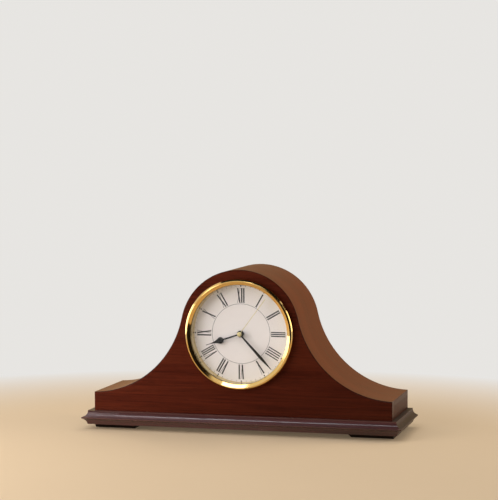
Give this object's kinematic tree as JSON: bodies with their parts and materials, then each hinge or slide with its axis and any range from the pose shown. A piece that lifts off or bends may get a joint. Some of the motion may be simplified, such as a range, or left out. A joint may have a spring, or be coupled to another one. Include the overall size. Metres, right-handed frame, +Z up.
{
  "type": "tambour mantel clock",
  "caption": "Wooden arched mantel clock on a moulded plinth, with a brass bezel, white dial with Roman numerals, three hands, a quartz chime movement and a hinged back door.",
  "frame": {"origin": "on the shelf, under the middle of the clock's box", "axes": "+X to the right seen from the front, +Y from the dial to the back, +Z up"},
  "size_m": [0.4372, 0.1284, 0.2184],
  "materials": {
    "front_wood": "dark cherry veneer, satin lacquer",
    "band_wood": "cherry veneer on bent ply, satin lacquer",
    "plinth_wood": "solid wood, dark cherry stain, satin lacquer",
    "foot_wood": "near-black stain",
    "felt": "pressed felt",
    "screw_steel": "zinc plated",
    "batten_wood": "planed softwood",
    "back_board": "stained fibreboard",
    "screw_brass": "brass, lightly tarnished",
    "plate_steel": "plain steel",
    "hinge_brass": "brass plated",
    "bezel_brass": "polished and lacquered",
    "clear_glass": "flat clear glass",
    "spacer_brass": "satin brass",
    "dial_white": "off-white matt paint, black print",
    "pan_steel": "black paint",
    "black_rubber": "moulded rubber",
    "hand_black": "black paint",
    "hand_brass": "brass",
    "black_plastic": "moulded, fine texture",
    "grey_plastic": "moulded",
    "gear_white": "natural moulded plastic",
    "coil_copper": "enamelled copper wire",
    "board_green": "green solder mask",
    "chip_black": "moulded",
    "knob_plastic": "moulded, pale grey",
    "cell_wrap": "plain wrapped cell",
    "contact_nickel": "nickel plated spring steel",
    "speaker_steel": "zinc plated basket",
    "cone_paper": "pressed paper",
    "magnet_iron": "ferrite"
  },
  "bodies": {
    "case": {"front_panel": "front_wood", "top_band": "band_wood", "left_end_panel": "band_wood", "right_end_panel": "band_wood", "plinth": "plinth_wood", "left_foot": "foot_wood", "right_foot": "foot_wood", "felt_pads": "felt", "base_screws": "screw_steel", "front_batten": "batten_wood", "floor_batten": "batten_wood", "top_block": "batten_wood", "back_panel": "back_board", "panel_screws": "screw_brass", "catch_magnet": "black_plastic", "frame_hinge_leaves": "hinge_brass", "hinge_pins": "plate_steel", "bezel": "bezel_brass", "crystal": "clear_glass", "spacer_ring": "spacer_brass", "dial": "dial_white", "dial_pan": "pan_steel", "pan_screws": "screw_steel", "hand_nut": "hand_black", "rubber_washer": "black_rubber", "movement_front": "black_plastic", "movement_rear": "black_plastic", "gear_bridge": "grey_plastic", "stator": "plate_steel", "coil": "coil_copper", "circuit_board": "board_green", "board_components": "chip_black", "volume_pot": "grey_plastic", "switch_body": "plate_steel", "batteries": "cell_wrap", "battery_contacts": "contact_nickel", "speaker_frame": "speaker_steel", "speaker_cone": "cone_paper", "speaker_magnet": "magnet_iron", "speaker_screws": "screw_steel"},
    "second": {"second_wheel": "gear_white", "second_hand": "hand_brass"},
    "fifth_wheel": {"fifth_wheel": "gear_white"},
    "rotor": {"rotor": "gear_white"},
    "third_wheel": {"third_wheel": "gear_white"},
    "centre_wheel": {"centre_wheel": "gear_white"},
    "minute": {"minute_arbor": "hand_brass", "minute_hand": "hand_black"},
    "minute_wheel": {"minute_wheel": "gear_white"},
    "hour": {"hour_wheel": "gear_white", "hour_hand": "hand_black"},
    "setting_knob": {"setting_knob": "knob_plastic"},
    "volume_knob": {"volume_knob": "knob_plastic"},
    "chime_switch": {"chime_switch": "knob_plastic"},
    "back_door": {"back_door": "back_board", "door_knob": "screw_brass", "door_hinge_leaves": "hinge_brass", "catch_plate": "plate_steel"}
  },
  "joints": [
    {"name": "second_turn", "type": "hinge", "parent": "case", "child": "second", "pos_m": [0, 0, 0.133], "axis": [0, 1, 0], "continuous": true},
    {"name": "fifth_turn", "type": "hinge", "parent": "case", "child": "fifth_wheel", "pos_m": [0.014, 0, 0.133], "axis": [0, 1, 0], "continuous": true},
    {"name": "rotor_turn", "type": "hinge", "parent": "case", "child": "rotor", "pos_m": [0.014, 0, 0.1426], "axis": [0, 1, 0], "continuous": true},
    {"name": "third_turn", "type": "hinge", "parent": "case", "child": "third_wheel", "pos_m": [0, 0, 0.1466], "axis": [0, 1, 0], "continuous": true},
    {"name": "centre_turn", "type": "hinge", "parent": "case", "child": "centre_wheel", "pos_m": [0, 0, 0.133], "axis": [0, 1, 0], "continuous": true},
    {"name": "minute_turn", "type": "hinge", "parent": "case", "child": "minute", "pos_m": [0, 0, 0.133], "axis": [0, 1, 0], "continuous": true},
    {"name": "minute_wheel_turn", "type": "hinge", "parent": "case", "child": "minute_wheel", "pos_m": [-0.012, 0, 0.133], "axis": [0, 1, 0], "continuous": true},
    {"name": "hour_turn", "type": "hinge", "parent": "case", "child": "hour", "pos_m": [0, 0, 0.133], "axis": [0, 1, 0], "continuous": true},
    {"name": "setting_turn", "type": "hinge", "parent": "case", "child": "setting_knob", "pos_m": [-0.018, 0, 0.12261], "axis": [0, 1, 0], "continuous": true},
    {"name": "volume_turn", "type": "hinge", "parent": "case", "child": "volume_knob", "pos_m": [-0.015, 0, 0.148], "axis": [0, -1, 0], "range_deg": [0, 270]},
    {"name": "switch_slide", "type": "slide", "parent": "case", "child": "chime_switch", "axis": [1, 0, 0], "range_m": [-0.003, 0.003]},
    {"name": "door_swing", "type": "hinge", "parent": "case", "child": "back_door", "pos_m": [-0.0593, 0.05775, 0.10505], "axis": [0, 0, 1], "range_deg": [0, 110]}
  ],
  "couplings": [
    {"joint": "fifth_turn", "follows": "second_turn", "ratio": -6},
    {"joint": "rotor_turn", "follows": "second_turn", "ratio": 30},
    {"joint": "third_turn", "follows": "second_turn", "ratio": -0.13333},
    {"joint": "centre_turn", "follows": "second_turn", "ratio": 0.016667},
    {"joint": "minute_wheel_turn", "follows": "minute_turn", "ratio": -0.33333},
    {"joint": "hour_turn", "follows": "minute_turn", "ratio": 0.083333},
    {"joint": "setting_turn", "follows": "minute_turn", "ratio": 1}
  ]
}
